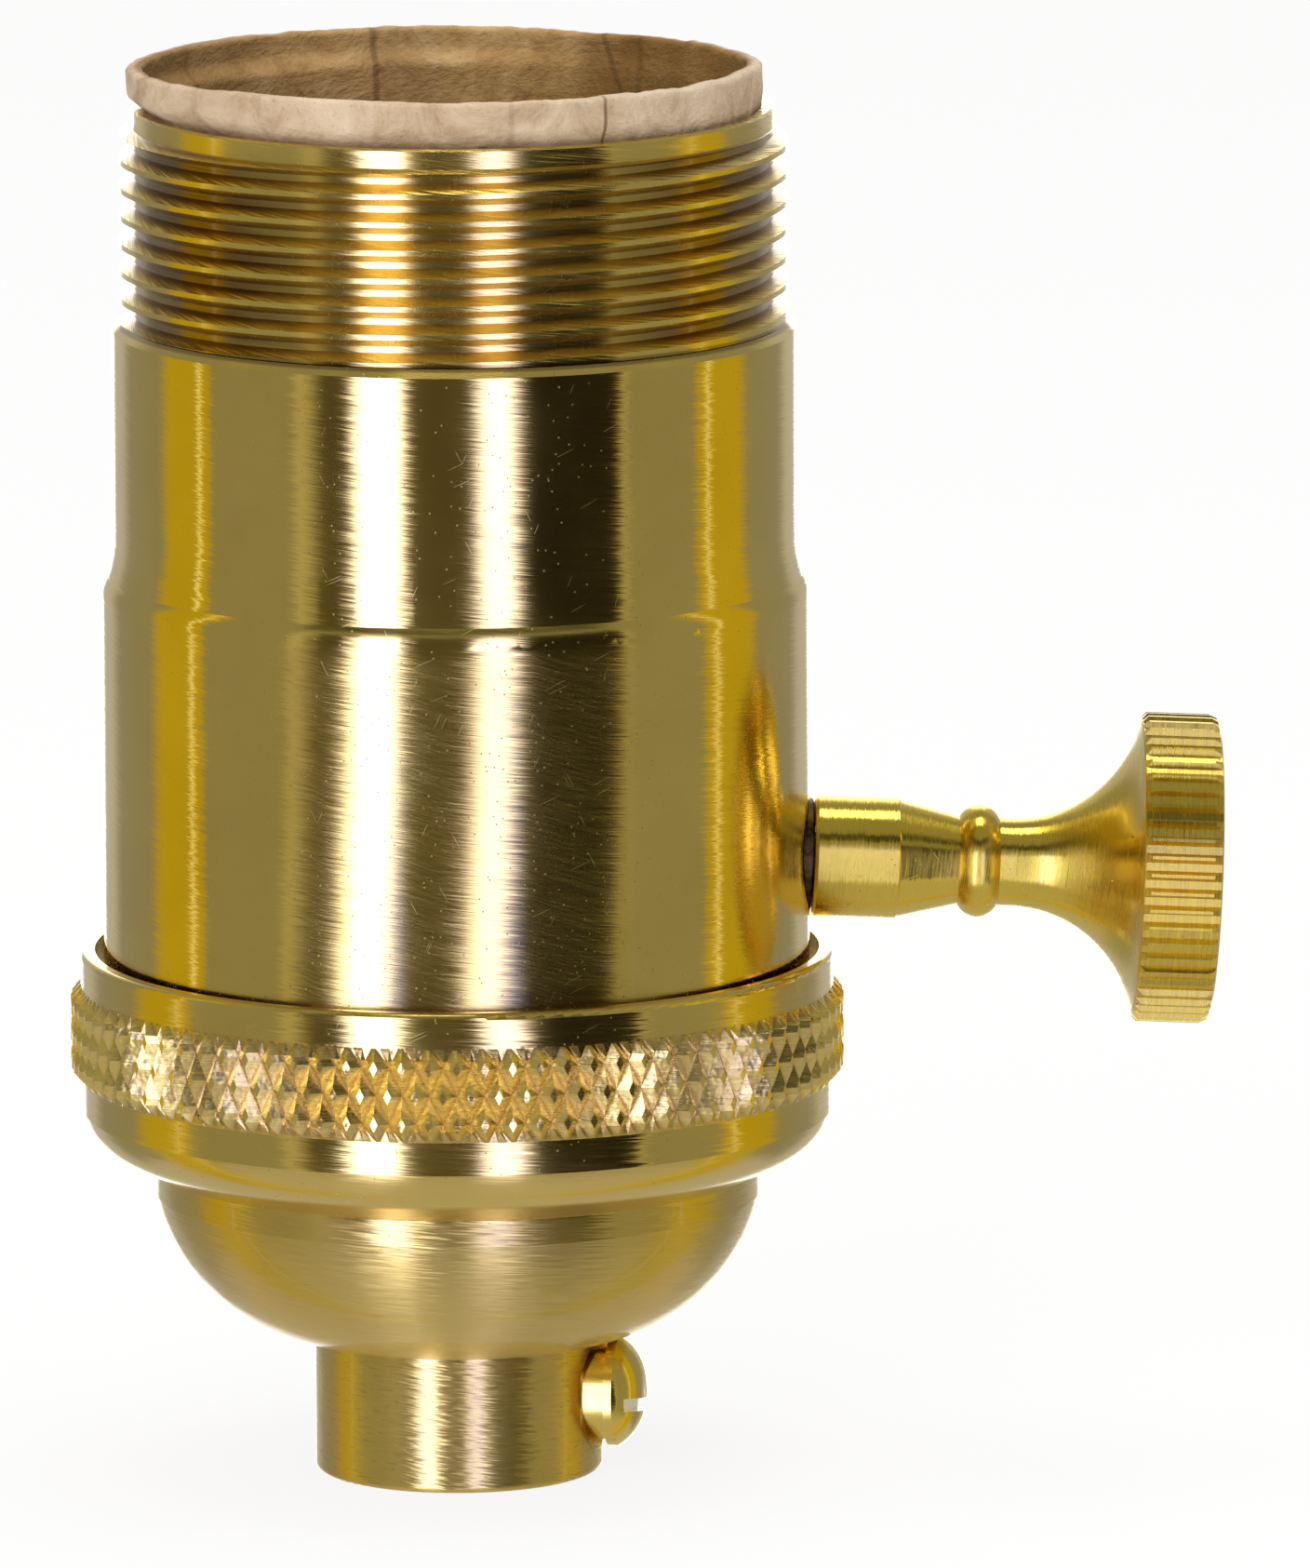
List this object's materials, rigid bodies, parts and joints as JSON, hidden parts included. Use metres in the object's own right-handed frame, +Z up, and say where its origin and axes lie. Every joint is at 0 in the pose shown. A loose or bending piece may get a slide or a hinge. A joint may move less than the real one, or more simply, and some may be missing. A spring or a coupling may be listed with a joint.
{
  "type": "lamp holder",
  "caption": "Turned brass screw lamp holder with a diamond-knurled cap, threaded top, paper liner, hub with set screw and a round turn knob.",
  "frame": {"origin": "centre of the bottom face of the hub, on the axis of the pipe thread", "axes": "+Z up the holder towards the lamp opening, +X towards the knob"},
  "size_m": [0.0657, 0.0442, 0.0814],
  "materials": {
    "turned_brass": "polished, with fine turning lines",
    "screw_brass": "bright",
    "sheet_brass": "rolled sheet",
    "nickel": "nickel plated",
    "black_moulding": "moulded phenolic",
    "kraft_paper": "bare kraft board"
  },
  "bodies": {
    "holder": {"cap": "turned_brass", "cap_insulator": "kraft_paper", "shell": "turned_brass", "liner": "kraft_paper", "switch_body": "black_moulding", "switch_cover": "black_moulding", "assembly_rivets": "nickel", "lamp_shell": "nickel", "centre_contact": "sheet_brass", "contact_rivet": "sheet_brass", "lamp_blade": "sheet_brass", "hot_terminal": "sheet_brass", "neutral_terminal": "nickel", "hot_terminal_screw": "screw_brass", "neutral_terminal_screw": "nickel", "stem_bushing": "screw_brass", "detent_spring": "nickel"},
    "knob": {"knob": "turned_brass", "switch_shaft": "nickel", "rotor": "black_moulding", "rotor_contact": "sheet_brass"},
    "set_screw": {"set_screw": "screw_brass"}
  },
  "joints": [
    {"name": "knob_turn", "type": "hinge", "parent": "holder", "child": "knob", "pos_m": [0, 0, 0.03626], "axis": [0.9989, 0, -0.0461], "continuous": true},
    {"name": "set_screw_travel", "type": "slide", "parent": "holder", "child": "set_screw", "axis": [0.9781, -0.2079, 0], "range_m": [-0.0011, 0.003]}
  ]
}
